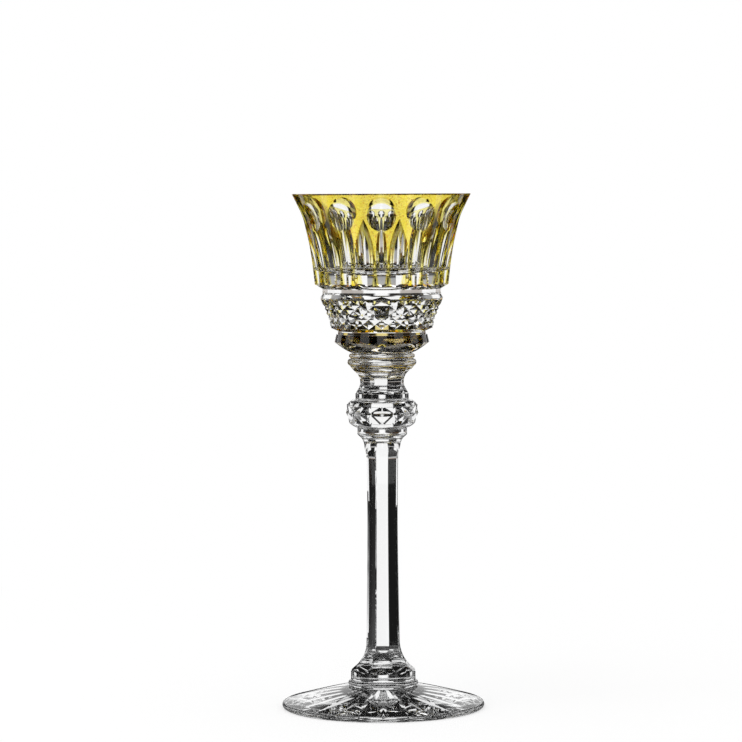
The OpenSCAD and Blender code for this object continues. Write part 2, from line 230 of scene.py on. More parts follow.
def thumbprint():
    """Surface of the round thumbprint at the middle of a repeat."""
    z = rim_z - thumb_drop
    u = 1 - thumb_drop / flare_h
    wall_r = float(flare(z))
    tilt = math.atan((rim_r - shoulder_r) / flare_h * (
        flare_straight_share + (1 - flare_straight_share) * flare_power * u ** (flare_power - 1)))
    dish = wheel_rise(thumb_wheel_r, thumb_d / 2) + wheel_rise(wall_r, thumb_d / 2)
    centre_r = wall_r + (thumb_wheel_r - dish) * math.cos(tilt)
    centre_z = z - (thumb_wheel_r - dish) * math.sin(tilt)

    def surface(t, height):
        """Walks out from inside the glass by the distance to the wheel until that is zero."""
        r = np.zeros(np.broadcast(t, height).shape) + shoulder_r
        for _ in range(thumb_walk):
            out, across, up = r * np.cos(t) - centre_r, r * np.sin(t), height - centre_z
            along = out * math.sin(tilt) + up * math.cos(tilt)
            away = np.hypot(out * math.cos(tilt) - up * math.sin(tilt), across)
            r = r + np.hypot(away - thumb_wheel_r + thumb_edge_r, along) - thumb_edge_r
        return r
    return surface


def shaft_panel(z):
    """Distance from the axis to a panel of the shaft."""
    low_z, mid_z, high_z = shaft_z + low_run, shaft_z + panel_mid_rise, collar_z - high_run
    below = np.clip((mid_z - z) / (mid_z - low_z), 0, 1)
    above = np.clip((z - mid_z) / (high_z - mid_z), 0, 1)
    flat = panel_mid + (panel_low - panel_mid) * below ** panel_power
    flat = flat + (panel_high - panel_mid) * above ** panel_power
    return flat + wheel_rise(panel_wheel_r, np.clip(low_z - z, 0, panel_wheel_r)) + wheel_rise(
        panel_wheel_r, np.clip(z - high_z, 0, panel_wheel_r))


def shaft_round(z):
    """Radius of the shaft before its panels are cut."""
    down = np.clip(1 - (z - shaft_z) / low_flare_h, 0, 1)
    up = np.clip(1 - (collar_z - z) / high_flare_h, 0, 1)
    along = np.clip((z - shaft_z - low_flare_h) / (collar_z - high_flare_h - shaft_z - low_flare_h), 0, 1)
    return (shaft_low_r + (shaft_high_r - shaft_low_r) * along
            + (foot_collar_r - shaft_low_r) * down ** low_flare_power
            + (stem_collar_r - shaft_high_r) * up ** high_flare_power)


def knop_surface(share):
    """Radius of the knop before it is cut, at a share of its height."""
    share = np.asarray(share, float)
    upper = np.clip((share - knop_mid_share) / (1 - knop_mid_share), 0, 1)
    lower = np.clip((knop_mid_share - share) / knop_mid_share, 0, 1)
    return np.where(share > knop_mid_share,
                    knop_top_r + (knop_r - knop_top_r) * oval(upper, knop_power),
                    knop_low_r + (knop_r - knop_low_r) * oval(lower, knop_power))


def baluster_round(z):
    """Radius of the baluster before its panels are cut."""
    waist_z = baluster_z + waist_rise
    down = np.clip((waist_z - z) / (waist_rise - neck_h), 0, 1)
    up = np.clip((z - waist_z) / (merese_z - waist_z), 0, 1)
    return waist_r + (knop_top_r - waist_r) * down ** 2 + (baluster_top_r - waist_r) * up ** waist_power


def baluster_panel(z):
    """Distance from the axis to the round panels that a wheel leaves at the baluster's waist."""
    return waist_panel + wheel_rise(waist_wheel_r, z - baluster_z - waist_rise)


def band_surface(share):
    """Radius of the diamond band before it is cut, at a share of its height."""
    return band_low_r + (band_top_r - band_low_r) * share ** band_power


class Lattice:
    """Crossed V grooves that leave pointed diamonds: flat facets between rows of crossings and
    points. The first row, the highest, has a crossing at the middle of a repeat."""

    def __init__(self, heights, radii, cuts, cell):
        self.heights, self.radii, self.cuts, self.cell = heights, radii, cuts, cell

    def corner(self, row, side):
        r = self.radii[row] - (self.cuts[row] if (row + side) % 2 == 0 else cut_skin)
        turn = side * self.cell
        return np.array([r * math.cos(turn), r * math.sin(turn), self.heights[row]])

    def radius(self, row, side, t, z):
        """The outer of the two planes that meet along the bottom of a cell's groove."""
        a, b = self.corner(row, side), self.corner(row, side + 1)
        c, d = self.corner(row + 1, side), self.corner(row + 1, side + 1)
        even = (row + side) % 2 == 0
        facets = [(a, d, b), (a, c, d)] if even else [(a, c, b), (b, c, d)]
        found = []
        for p, q, s in facets:
            n = np.cross(q - p, s - p)
            found.append((n @ p - n[2] * z) / (n[0] * np.cos(t) + n[1] * np.sin(t)))
        return np.maximum(*found)


class Sector:
    """Half of one repeat of a turned piece. Points are an angle from the middle of the repeat, a
    radius and a height. Each facet has a number for its surface and says whether it is fused."""

    def __init__(self, repeats, columns, extra=()):
        self.half = math.pi / repeats
        steps = [self.half * i / columns for i in range(columns + 1)]
        # A regular column that would lie close to an extra one is left out
        near = self.half / columns / 4
        steps = [s for s in steps if s in (0, self.half) or all(abs(s - e) > near for e in extra)]
        self.angles = np.array(sorted(steps + list(extra)))
        self.polygons, self.surface, self.fused = [], [], []
        self.count = 0

    def put(self, points, surface, fused=False):
        self.polygons.append(points)
        self.surface.append(surface)
        self.fused.append(fused)

    def next_surface(self, number=1):
        self.count += number
        return self.count - number

    def strip(self, rows, fused=False):
        """A band of quads along rows of (radius, height), where a radius may follow the angle."""
        surface = self.next_surface()
        lines = []
        for r, z in rows:
            radii = r(self.angles) if callable(r) else np.full(len(self.angles), float(r))
            lines.append([(t, q, float(z)) for t, q in zip(self.angles, radii)])
        for first, second in zip(lines, lines[1:]):
            for i in range(len(self.angles) - 1):
                self.put([first[i], first[i + 1], second[i + 1], second[i]], surface, fused)

    def facets(self, lattice, rows, sides, fine):
        """The flat facets of a lattice, from its lowest row up."""
        for row in reversed(range(rows)):
            zs = np.linspace(lattice.heights[row + 1], lattice.heights[row], fine + 1)
            for side in range(sides):
                ts = np.linspace(side * lattice.cell, (side + 1) * lattice.cell, fine + 1)
                r = lattice.radius(row, side, ts[None, :], zs[:, None])
                surface = self.next_surface(2)
                falls = (row + side) % 2 == 0
                for i in range(fine):
                    for j in range(fine):
                        at = [(ts[m], r[n, m], zs[n])
                              for m, n in ((i, j), (i + 1, j), (i + 1, j + 1), (i, j + 1))]
                        across = fine - 1 - j if falls else j
                        if i != across:
                            self.put(at, surface + (i > across))
                        elif falls:
                            self.put([at[0], at[1], at[3]], surface)
                            self.put([at[1], at[2], at[3]], surface + 1)
                        else:
                            self.put([at[0], at[2], at[3]], surface)
                            self.put([at[0], at[1], at[2]], surface + 1)

    def wall(self, heights, surfaces, base=None):
        """The innermost of several surfaces over a stretch of height, with the lines where two of
        them meet found exactly. With a base, only what stands outside the base is made, as a
        layer that is closed against it."""
        t, z = np.meshgrid(self.angles, np.array(heights, float))
        cuts = np.stack([np.broadcast_to(s(t, z), t.shape) for s in surfaces])
        owner, r = cuts.argmin(0), cuts.min(0)
        ground = base(t, z) if base else None
        if base:
            owner = np.where(r > ground, owner, -1)
        first = self.next_surface(len(surfaces) + 1)

        def radius(angle, height):
            return float(min(s(np.float64(angle), np.float64(height)) for s in surfaces))

        def meeting(a, b):
            """The point between two grid points where their owners' surfaces meet."""
            if -1 in (owner[a], owner[b]):
                g = [r[p] - ground[p] for p in (a, b)]
            else:
                g = [cuts[(owner[a],) + p] - cuts[(owner[b],) + p] for p in (a, b)]
            share = g[0] / (g[0] - g[1])
            angle, height = (m[a] + (m[b] - m[a]) * share for m in (t, z))
            edge = -1 in (owner[a], owner[b])
            return (angle, float(base(angle, height)) if edge else radius(angle, height), height)

        def place(point):
            return (t[point], r[point], z[point])

        def emit(points, who):
            if base is None:
                self.put(points, first + who)
            elif who >= 0:
                self.put(points, first + who)
                inner = [(p[0], float(base(p[0], p[2])), p[2]) for p in points]
                self.put(inner[::-1], first + len(surfaces), True)

        for j in range(len(heights) - 1):
            for i in range(len(self.angles) - 1):
                ring = [(j, i), (j, i + 1), (j + 1, i + 1), (j + 1, i)]
                who = [int(owner[p]) for p in ring]
                if len(set(who)) == 1:
                    emit([place(p) for p in ring], who[0])
                    continue
                turns = [k for k in range(4) if who[k] != who[(k + 1) % 4]]
                marks = {k: meeting(ring[k], ring[(k + 1) % 4]) if (j, i) in (ring[k], ring[(k + 1) % 4])
                         else meeting(ring[(k + 1) % 4], ring[k]) for k in turns}
                centre = None
                if len(turns) > 2:
                    angle, height = (sum(m[n] for m in marks.values()) / len(marks) for n in (0, 2))
                    meets = float(base(angle, height)) if -1 in who else radius(angle, height)
                    centre = (angle, meets, height)
                for n, k in enumerate(turns):
                    end = turns[(n + 1) % len(turns)]
                    points, step = [marks[k]], (k + 1) % 4
                    while True:
                        points.append(place(ring[step]))
                        if step == end:
                            break
                        step = (step + 1) % 4
                    points.append(marks[end])
                    if centre:
                        points.append(centre)
                    emit(points, who[(k + 1) % 4])

    def mesh(self, name, turn=0.0):
        """The half repeat as a mesh, turned so that its middle faces the front."""
        spots, index, faces, surface, fused = [], {}, [], [], []
        for points, s, f in zip(self.polygons, self.surface, self.fused):
            ring = []
            for t, r, z in points:
                height = round(z, LENGTH_DIGITS)
                key = (0, 0, height)
                if r > ON_AXIS:
                    key = (round(t, ANGLE_DIGITS), round(r, LENGTH_DIGITS), height)
                if key not in index:
                    index[key] = len(spots)
                    a = FRONT + turn + t
                    spots.append((r * math.cos(a) * MM, r * math.sin(a) * MM, z * MM))
                if not ring or ring[-1] != index[key]:
                    ring.append(index[key])
            if ring[0] == ring[-1]:
                ring.pop()
            if len(set(ring)) > 2:
                faces.append(ring)
                surface.append(s)
                fused.append(f)
        mesh = bpy.data.meshes.new(name)
        mesh.from_pydata(spots, [], faces)
        for title, kind, values in (("surface", "INT", surface), ("fused", "BOOLEAN", fused)):
            layer = mesh.attributes.new(title, kind, "FACE")
            layer.data.foreach_set("value", values)
        return mesh


# Node trees

class Value:
    """A number socket, with the operators that the node trees use."""

    def __init__(self, tree, socket):
        self.tree, self.socket = tree, socket

    def _math(self, operation, first, second):
        return self.tree.add("ShaderNodeMath", {"operation": operation}, {0: first, 1: second})

    def __add__(self, other):
        return self._math("ADD", self, other)

    def __sub__(self, other):
        return self._math("SUBTRACT", self, other)

    def __rsub__(self, other):
        return self._math("SUBTRACT", other, self)

    def __mul__(self, other):
        return self._math("MULTIPLY", self, other)

    def __rmul__(self, other):
        return self._math("MULTIPLY", other, self)

    def __truediv__(self, other):
        return self._math("DIVIDE", self, other)

    def unary(self, operation):
        return self.tree.add("ShaderNodeMath", {"operation": operation}, {0: self})


class Tree:
    """A node tree whose nodes all come from one method."""

    def __init__(self, tree):
        self.tree = tree

    def node(self, kind, settings=None, inputs=None):
        made = self.tree.nodes.new(kind)
        for key, value in (settings or {}).items():
            setattr(made, key, value)
        for key, value in (inputs or {}).items():
            if isinstance(value, Value):
                self.tree.links.new(value.socket, made.inputs[key])
            else:
                made.inputs[key].default_value = value
        return made

    def add(self, kind, settings=None, inputs=None, output=0):
        return Value(self, self.node(kind, settings, inputs).outputs[output])

    def ramp(self, value, start, end):
        """Rises smoothly from 0 to 1 as the value goes from start to end."""
        return self.add("ShaderNodeMapRange", {"interpolation_type": "SMOOTHSTEP"},
                        {"Value": value, "From Min": start, "From Max": end})

    def mix(self, factor, first, second):
        """A colour between two colours."""
        return self.add("ShaderNodeMix", {"data_type": "RGBA"},
                        {"Factor": factor, 6: first, 7: second}, output=2)


def repeat_tree(finishes):
    """Tree that mirrors half a repeat, carries it round the axis and welds the copies."""
    group = bpy.data.node_groups.new("repeats_round_axis", "GeometryNodeTree")
    face = group.interface
    face.new_socket("Half repeat", in_out="INPUT", socket_type="NodeSocketGeometry")
    for title, kind in (("Repeats", "NodeSocketInt"), ("Turn", "NodeSocketFloat"),
                        ("Weld", "NodeSocketFloat")):
        face.new_socket(title, in_out="INPUT", socket_type=kind)
    face.new_socket("Piece", in_out="OUTPUT", socket_type="NodeSocketGeometry")
    tree = Tree(group)
    given = tree.node("NodeGroupInput")
    half, repeats, turn, weld = (Value(tree, given.outputs[i]) for i in range(4))

    def turned(shape, angle):
        spin = tree.add("ShaderNodeCombineXYZ", None, {"Z": angle})
        return tree.add("GeometryNodeTransform", None, {"Geometry": shape, "Rotation": spin})

    # The half is turned to the X axis, mirrored there and turned back
    at_x = turned(half, turn * -1)
    mirrored = tree.add("GeometryNodeTransform", None, {"Geometry": at_x, "Scale": (1, -1, 1)})
    flipped = tree.add("GeometryNodeFlipFaces", None, {"Mesh": mirrored})
    join = tree.node("GeometryNodeJoinGeometry")
    for shape in (at_x, flipped):
        group.links.new(shape.socket, join.inputs[0])
    whole = turned(Value(tree, join.outputs[0]), turn)
    spots = tree.add("GeometryNodePoints", None, {"Count": repeats})
    place = tree.add("GeometryNodeInputIndex")
    spin = tree.add("ShaderNodeCombineXYZ", None, {"Z": place * (2 * math.pi) / repeats})
    copies = tree.add("GeometryNodeInstanceOnPoints", None,
                      {"Points": spots, "Instance": whole, "Rotation": spin})
    real = tree.add("GeometryNodeRealizeInstances", None, {"Geometry": copies})
    shape = tree.add("GeometryNodeMergeByDistance", None, {"Geometry": real, "Distance": weld})
    fused = tree.add("GeometryNodeInputNamedAttribute", {"data_type": "BOOLEAN"}, {"Name": "fused"})
    for finish, where in zip(finishes, (None, fused)):
        settings = {"Geometry": shape, "Material": finish}
        if where:
            settings["Selection"] = where
        shape = tree.add("GeometryNodeSetMaterial", None, settings)
    result = tree.node("NodeGroupOutput")
    group.links.new(shape.socket, result.inputs[0])
    return group


def make_piece(name, sector, repeats, finishes, turn=0.0):
    """Carries a half repeat round the axis and keeps the result as a plain mesh piece."""
    half = bpy.data.objects.new(name + "_half", sector.mesh(name + "_half", turn))
    bpy.context.scene.collection.objects.link(half)
    modifier = half.modifiers.new("repeats", "NODES")
    group = repeat_tree(finishes)
    modifier.node_group = group
    sockets = {s.name: s.identifier for s in group.interface.items_tree if s.in_out == "INPUT"}
    modifier[sockets["Repeats"]] = repeats
    modifier[sockets["Turn"]] = FRONT + turn
    modifier[sockets["Weld"]] = WELD
    seen = half.evaluated_get(bpy.context.evaluated_depsgraph_get())
    mesh = bpy.data.meshes.new_from_object(seen)
    half.modifiers.remove(modifier)
    bpy.data.objects.remove(half)
    mesh.name = name
    keep_edges_crisp(mesh)
    piece = bpy.data.objects.new(name, mesh)
    bpy.context.scene.collection.objects.link(piece)
    return piece


def keep_edges_crisp(mesh):
    """Smooth shading within a surface, and a sharp edge wherever two surfaces meet."""
    mesh.shade_smooth()
    mesh.set_sharp_from_angle(angle=SHARP_ANGLE)
    count = len(mesh.polygons)
    surface = np.zeros(count, np.int32)
    mesh.attributes["surface"].data.foreach_get("value", surface)
    totals = np.zeros(count, np.int32)
    mesh.polygons.foreach_get("loop_total", totals)
    edges = np.zeros(len(mesh.loops), np.int32)
    mesh.loops.foreach_get("edge_index", edges)
    owner = np.repeat(surface, totals)
    lowest = np.full(len(mesh.edges), np.iinfo(np.int32).max, np.int32)
    highest = np.full(len(mesh.edges), -1, np.int32)
    np.minimum.at(lowest, edges, owner)
    np.maximum.at(highest, edges, owner)
    layer = mesh.attributes.get("sharp_edge") or mesh.attributes.new("sharp_edge", "BOOLEAN", "EDGE")
    sharp = np.zeros(len(mesh.edges), bool)
    layer.data.foreach_get("value", sharp)
    layer.data.foreach_set("value", sharp | (lowest != highest))


# Materials

glass_ior = 1.545
wave_height = 0.006
wave_scale = 120.0
smear_scale = 900.0
smear_share = (0.55, 0.8)
smear_roughness = 0.006

CLEAR_TINTS = ((0.985, 0.99, 0.99, 1), (0.995, 0.998, 0.996, 1))
YELLOW_TINTS = ((1.0, 0.91, 0.6, 1), (1.0, 0.93, 0.64, 1))
YELLOW, yellow_density = (0.995, 0.95, 0.02, 1), 3000.0
OLIVE, olive_density = (0.945, 0.91, 0.72, 1), 13000.0


def glass_base(name):
    """A new material with a glass shader and its output."""
    material = bpy.data.materials.new(name)
    material.use_nodes = True
    material.node_tree.nodes.clear()
    tree = Tree(material.node_tree)
    shader = tree.node("ShaderNodeBsdfPrincipled", None,
                       {"Transmission Weight": 1.0, "IOR": glass_ior, "Roughness": 0.0})
    output = tree.node("ShaderNodeOutputMaterial")
    material.node_tree.links.new(shader.outputs[0], output.inputs["Surface"])
    return material, tree, shader, output


def polish(tree, shader, tints):
    """Hand polish: faint slow waves in the surface, slightly uneven gloss and an uneven tint."""
    link = tree.tree.links.new
    where = tree.add("ShaderNodeTexCoord", output=3)
    slow = tree.add("ShaderNodeTexNoise", None, {"Vector": where, "Scale": wave_scale, "Detail": 1.0})
    bump = tree.add("ShaderNodeBump", None, {"Strength": wave_height, "Distance": MM, "Height": slow})
    link(bump.socket, shader.inputs["Normal"])
    fine = tree.add("ShaderNodeTexNoise", None, {"Vector": where, "Scale": smear_scale, "Detail": 3.0})
    dull = tree.ramp(fine, *smear_share) * smear_roughness
    link(dull.socket, shader.inputs["Roughness"])
    link(tree.mix(fine, *tints).socket, shader.inputs["Base Color"])


def crystal():
    material, tree, shader, _ = glass_base("crystal")
    polish(tree, shader, CLEAR_TINTS)
    return material


def join_glass():
    """Where two gathers of glass are fused there is no surface left to see."""
    material, _, shader, _ = glass_base("fused_join")
    shader.inputs["Alpha"].default_value = 0.0
    return material


def overlay(name, colour, density):
    """Overlay glass: its colour deepens with the way that light goes through it."""
    material, tree, shader, output = glass_base(name)
    polish(tree, shader, YELLOW_TINTS)
    fused = tree.add("ShaderNodeAttribute", {"attribute_name": "fused"}, output="Fac")
    tree.tree.links.new((1 - fused).socket, shader.inputs["Alpha"])
    depth = tree.node("ShaderNodeVolumeAbsorption", None, {"Color": colour, "Density": density})
    tree.tree.links.new(depth.outputs[0], output.inputs["Volume"])
    return material


CLEAR = (crystal(), join_glass())
CASING = (overlay("yellow_overlay", YELLOW, yellow_density),)
DISH = (overlay("deep_overlay", OLIVE, olive_density),)


def finish_piece(piece, node):
    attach(piece, "root")
    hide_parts(node)


def arc(centre_r, centre_z, radius, start, end, steps):
    """Rows along an arc of a turned outline, with its angles in degrees from the outward side."""
    angles = [math.radians(start + (end - start) * i / steps) for i in range(steps + 1)]
    return [(centre_r + radius * math.cos(a), centre_z + radius * math.sin(a)) for a in angles]


def spread(start, end, steps):
    return [start + (end - start) * i / steps for i in range(steps + 1)]


# Pieces, from the foot up

edge_round = 0.25
edge_steps = 8
bead_steps = 28

# Columns in half a repeat, and rows
plain_columns = 12
ray_columns = 6
panel_columns = 24
knop_columns = 18
wall_columns = 16
facet_columns = 8
ray_rows = 8
crown_rows = 30
collar_rows = 16
outline_rows = 16
baluster_rows = 64
boss_rows = 24
bevel_rows = 14
wall_rows = 92
hollow_rows = 30
bottom_rows = 32

# The shaft's two ends are finer than its middle
low_end_h = 14
high_end_h = 13
low_end_rows = 60
middle_rows = 36
high_end_rows = 56


def make_foot():
    sector = Sector(star_rays, ray_columns)
    cone_r = foot_r - foot_edge_t / 2
    tip = np.array([cone_r - star_margin, 0.0])
    waist = (cone_r - star_margin) * star_waist_share * np.array(
        [math.cos(sector.half), math.sin(sector.half)])
    normal = np.array([waist[1] - tip[1], tip[0] - waist[0]])

    def star(angles):
        return (normal @ tip) / (normal[0] * np.cos(angles) + normal[1] * np.sin(angles))

    def star_part(share):
        return lambda angles: star(angles) * share

    seat_r = foot_collar_r + foot_bead_r
    rays = [(star_part(s), star_depth * (1 - s)) for s in spread(0, 1, ray_rows)]
    sector.strip(rays)
    sector.strip([(star, 0), (cone_r, 0)])
    sector.strip(arc(cone_r, foot_edge_t / 2, foot_edge_t / 2, -90, 90, bead_steps))
    sector.strip([(seat_r + (cone_r - seat_r) * u,
                   foot_edge_t + (foot_top - foot_edge_t) * (1 - u ** foot_crown))
                  for u in spread(1, 0, crown_rows)])
    sector.strip([(seat_r, foot_top), (foot_collar_r, foot_top)])
    sector.strip([(foot_collar_r, foot_top), (0, foot_top)], fused=True)
    return make_piece("cut_foot", sector, star_rays, CLEAR)


def panel_surface(t, z):
    return shaft_panel(z) / np.cos(t)


def panel_edge(round_r, z):
    """Angle at which a panel of the shaft meets the round at a height."""
    return math.acos(min(1.0, float(shaft_panel(np.float64(z))) / round_r))


collar_angle = panel_edge(foot_collar_r, shaft_z)


def make_foot_collar():
    sector = Sector(panel_count, panel_columns, [collar_angle])
    bead_z = foot_top + foot_bead_r
    sector.strip([(0, foot_top), (foot_collar_r, foot_top)], fused=True)
    sector.strip(arc(foot_collar_r, bead_z, foot_bead_r, -90, 90, bead_steps))
    sector.wall(spread(bead_z + foot_bead_r, shaft_z, collar_rows),
                [lambda t, z: foot_collar_r + 0 * t, panel_surface])
    sector.strip([(lambda t: np.minimum(foot_collar_r, panel_surface(t, np.float64(shaft_z))), shaft_z),
                  (0, shaft_z)], fused=True)
    return make_piece("bead_collar", sector, panel_count, CLEAR, shaft_turn)


def make_shaft():
    sector = Sector(panel_count, panel_columns, [collar_angle])
    seat_r = stem_collar_r - edge_round
    low_z, high_z = shaft_z + low_end_h, collar_z - high_end_h
    heights = (spread(shaft_z, low_z, low_end_rows)[:-1] + spread(low_z, high_z, middle_rows)[:-1]
               + spread(high_z, collar_z, high_end_rows))
    sector.strip([(0, shaft_z),
                  (lambda t: np.minimum(foot_collar_r, panel_surface(t, np.float64(shaft_z))), shaft_z)],
                 fused=True)
    sector.wall(heights, [lambda t, z: shaft_round(z), panel_surface])
    sector.strip([(stem_collar_r, collar_z), (seat_r, collar_z)])
    sector.strip([(seat_r, collar_z), (0, collar_z)], fused=True)
    return make_piece("panelled_shaft", sector, panel_count, CLEAR, shaft_turn)


def make_stem_collar():
    sector = Sector(panel_count, plain_columns)
    inner = stem_collar_r - edge_round
    sector.strip([(0, collar_z), (inner, collar_z)], fused=True)
    sector.strip(arc(inner, collar_z + edge_round, edge_round, -90, 0, edge_steps)
                 + arc(inner, knop_z - edge_round, edge_round, 0, 90, edge_steps))
    sector.strip([(inner, knop_z), (knop_low_r, knop_z)])
    sector.strip([(knop_low_r, knop_z), (0, knop_z)], fused=True)
    return make_piece("plain_collar", sector, panel_count, CLEAR)


def make_knop():
    sector = Sector(knop_diamonds, knop_columns)
    height = baluster_z - knop_z
    shares = knop_row_shares
    lattice = Lattice([knop_z + height * s for s in shares], [float(knop_surface(s)) for s in shares],
                      [knop_cut * s for s in knop_cut_shares], sector.half)

    def outline(start, end):
        return [(float(knop_surface(s)), knop_z + height * s) for s in spread(start, end, outline_rows)]

    def ledge(row, side_row):
        return lambda t: lattice.radius(side_row, 0, t, lattice.heights[row])

    sector.strip([(0, knop_z), (knop_low_r, knop_z)], fused=True)
    sector.strip(outline(0, shares[2]))
    sector.strip([(lattice.radii[2], lattice.heights[2]), (ledge(2, 1), lattice.heights[2])])
    sector.facets(lattice, 2, 1, knop_columns)
    sector.strip([(ledge(0, 0), lattice.heights[0]), (lattice.radii[0], lattice.heights[0])])
    sector.strip(outline(shares[0], 1))
    sector.strip([(knop_top_r, baluster_z), (0, baluster_z)], fused=True)
    return make_piece("cut_knop", sector, knop_diamonds, CLEAR)


def make_baluster():
    sector = Sector(panel_count, panel_columns)
    seat_r = low_ring_r - (boss_z - merese_z) * bead_shares[0]
    sector.strip([(0, baluster_z), (knop_top_r, baluster_z)], fused=True)
    sector.wall(spread(baluster_z, merese_z, baluster_rows),
                [lambda t, z: baluster_round(z), lambda t, z: baluster_panel(z) / np.cos(t)])
    sector.strip([(baluster_top_r, merese_z), (seat_r, merese_z)])
    sector.strip([(seat_r, merese_z), (0, merese_z)], fused=True)
    return make_piece("waisted_baluster", sector, panel_count, CLEAR, waist_turn)


def make_merese():
    sector = Sector(panel_count, plain_columns)
    height = boss_z - merese_z
    low_bead, high_bead = (height * s for s in bead_shares)
    high_z = merese_z + 2 * low_bead
    sector.strip([(0, merese_z), (low_ring_r - low_bead, merese_z)], fused=True)
    sector.strip(arc(low_ring_r - low_bead, merese_z + low_bead, low_bead, -90, 90, bead_steps))
    sector.strip([(low_ring_r - low_bead, high_z), (high_ring_r - high_bead, high_z)])
    sector.strip(arc(high_ring_r - high_bead, high_z + high_bead, high_bead, -90, 90, bead_steps))
    sector.strip([(high_ring_r - high_bead, high_z + 2 * high_bead), (bowl_neck_r, high_z + 2 * high_bead)])
    sector.strip([(bowl_neck_r, high_z + 2 * high_bead), (bowl_neck_r, boss_z)])
    sector.strip([(bowl_neck_r, boss_z), (0, boss_z)], fused=True)
    return make_piece("ring_merese", sector, panel_count, CLEAR)


def make_boss():
    sector = Sector(thumb_count, plain_columns)
    sector.strip([(0, boss_z), (bowl_neck_r, boss_z)], fused=True)
    sector.strip([(bowl_neck_r + (disc_r - bowl_neck_r) * u, boss_z + (disc_z - boss_z) * u ** boss_power)
                  for u in spread(0, 1, boss_rows)])
    sector.strip([(disc_r, disc_z), (0, disc_z)], fused=True)
    return make_piece("clear_boss", sector, thumb_count, CLEAR)


def make_base_casing():
    sector = Sector(thumb_count, plain_columns)
    inner, inner_top = disc_r - casing_t, disc_top_r - casing_t
    sector.strip([(0, disc_z), (disc_r, disc_z)], fused=True)
    sector.strip([(disc_r, disc_z), (disc_top_r, step_z)])
    sector.strip([(disc_top_r, step_z), (inner_top, step_z)])
    sector.strip([(inner_top, step_z), (inner, disc_z + casing_t), (0, disc_z + casing_t)], fused=True)
    return make_piece("overlay_dish", sector, thumb_count, DISH)


def wall_cuts():
    return [flute(narrow_cut, narrow_rise, narrow_spread, 0),
            flute(wide_cut, wide_rise, wide_spread, math.pi / thumb_count), thumbprint()]


def wall_heights():
    return (spread(bevel_z, shoulder_z, bevel_rows)[:-1]
            + spread(shoulder_z, rim_z - rim_bevel, wall_rows))


def uncut(t, z):
    return flare(z)


def covered(t, z):
    return overlay_face(z)


def make_lining():
    sector = Sector(thumb_count, wall_columns)
    shares = [1 - k / band_rows for k in range(band_rows + 1)]
    ends = (0, band_rows)
    lattice = Lattice([band_z + band_h * s for s in shares], [float(band_surface(s)) for s in shares],
                      [band_cut * (end_cut_share if k in ends else 1) for k in range(band_rows + 1)],
                      math.pi / band_diamonds)

    def ledge(row, side_row):
        def radius(t):
            side = np.minimum(t // lattice.cell, 1)
            found = [lattice.radius(side_row, s, t, lattice.heights[row]) for s in (0, 1)]
            return np.where(side == 0, found[0], found[1])
        return radius

    inner, inner_top = disc_r - casing_t, disc_top_r - casing_t
    sector.strip([(0, disc_z + casing_t), (inner, disc_z + casing_t), (inner_top, step_z)], fused=True)
    sector.strip([(inner_top, step_z), (step_r, step_z)])
    sector.strip([(step_r, step_z), (step_r, step_z + step_h / 2)])
    sector.strip([(step_r, step_z + step_h / 2), (band_low_r, band_z)])
    sector.strip([(band_low_r, band_z), (ledge(band_rows, band_rows - 1), band_z)])
    sector.facets(lattice, band_rows, 2, facet_columns)
    sector.strip([(ledge(0, 0), strip_z), (band_top_r, strip_z)])
    sector.strip([(band_top_r, strip_z), (band_top_r, throat_z - strip_h * strip_fall_share)])
    sector.strip([(band_top_r, throat_z - strip_h * strip_fall_share), (bevel_low_r, throat_z)])
    sector.strip([(bevel_low_r, throat_z), (bevel_low_r, bevel_z)])
    before = len(sector.surface)
    sector.wall(wall_heights(), [uncut, covered] + wall_cuts())
    under_overlay = sector.surface[before] + 1
    for n in range(before, len(sector.surface)):
        sector.fused[n] = sector.surface[n] == under_overlay
    seat_z, turn_z = rim_z - rim_bevel, shoulder_z + hollow_turn
    lip_r = rim_r - rim_wall + rim_bevel
    sector.strip([(float(overlay_face(seat_z)), seat_z), (rim_r - casing_t, rim_z)], fused=True)
    sector.strip([(rim_r - casing_t, rim_z), (lip_r, rim_z)])
    sector.strip([(lip_r, rim_z), (float(hollow(seat_z)), seat_z)])
    sector.strip([(float(hollow(z)), z) for z in spread(seat_z, turn_z, hollow_rows)]
                 + [(float(hollow(turn_z)) * math.cos(a), turn_z - hollow_depth * math.sin(a))
                    for a in spread(0, math.pi / 2, bottom_rows)[1:]])
    return make_piece("cut_lining", sector, thumb_count, CLEAR)


def make_casing():
    sector = Sector(thumb_count, wall_columns)
    seat_z = rim_z - rim_bevel
    sector.wall(wall_heights(), [uncut] + wall_cuts(), base=covered)
    sector.strip([(float(flare(seat_z)), seat_z), (rim_r - rim_bevel, rim_z)])
    sector.strip([(rim_r - rim_bevel, rim_z), (rim_r - casing_t, rim_z)])
    sector.strip([(rim_r - casing_t, rim_z), (float(overlay_face(seat_z)), seat_z)], fused=True)
    return make_piece("fluted_overlay", sector, thumb_count, CASING)


for maker, node, slot in (
        (make_foot, "foot", "crystal"), (make_foot_collar, "foot_collar", "crystal"),
        (make_shaft, "stem_shaft", "crystal"), (make_stem_collar, "stem_collar", "crystal"),
        (make_knop, "diamond_knop", "crystal"), (make_baluster, "baluster", "crystal"),
        (make_merese, "merese", "crystal"), (make_boss, "bowl_boss", "crystal"),
        (make_base_casing, "base_casing", "yellow_overlay"),
        (make_lining, "bowl_lining", "crystal"), (make_casing, "colour_casing", "yellow_overlay")):
    finish_piece(maker(), node)


# Floor, light and camera

# Near-black that glass alone sees, in the sky's gaps and as painted shade on the floor; and a dark brown
# painted on the far floor as a reflection that glass alone sees
GLOOM = (0.01, 0.01, 0.01, 1)
PAINTED_BROWN = (0.13, 0.06, 0.01, 1)
PALE = (0.93, 0.93, 0.93, 1)
WHITE = (1, 1, 1, 1)
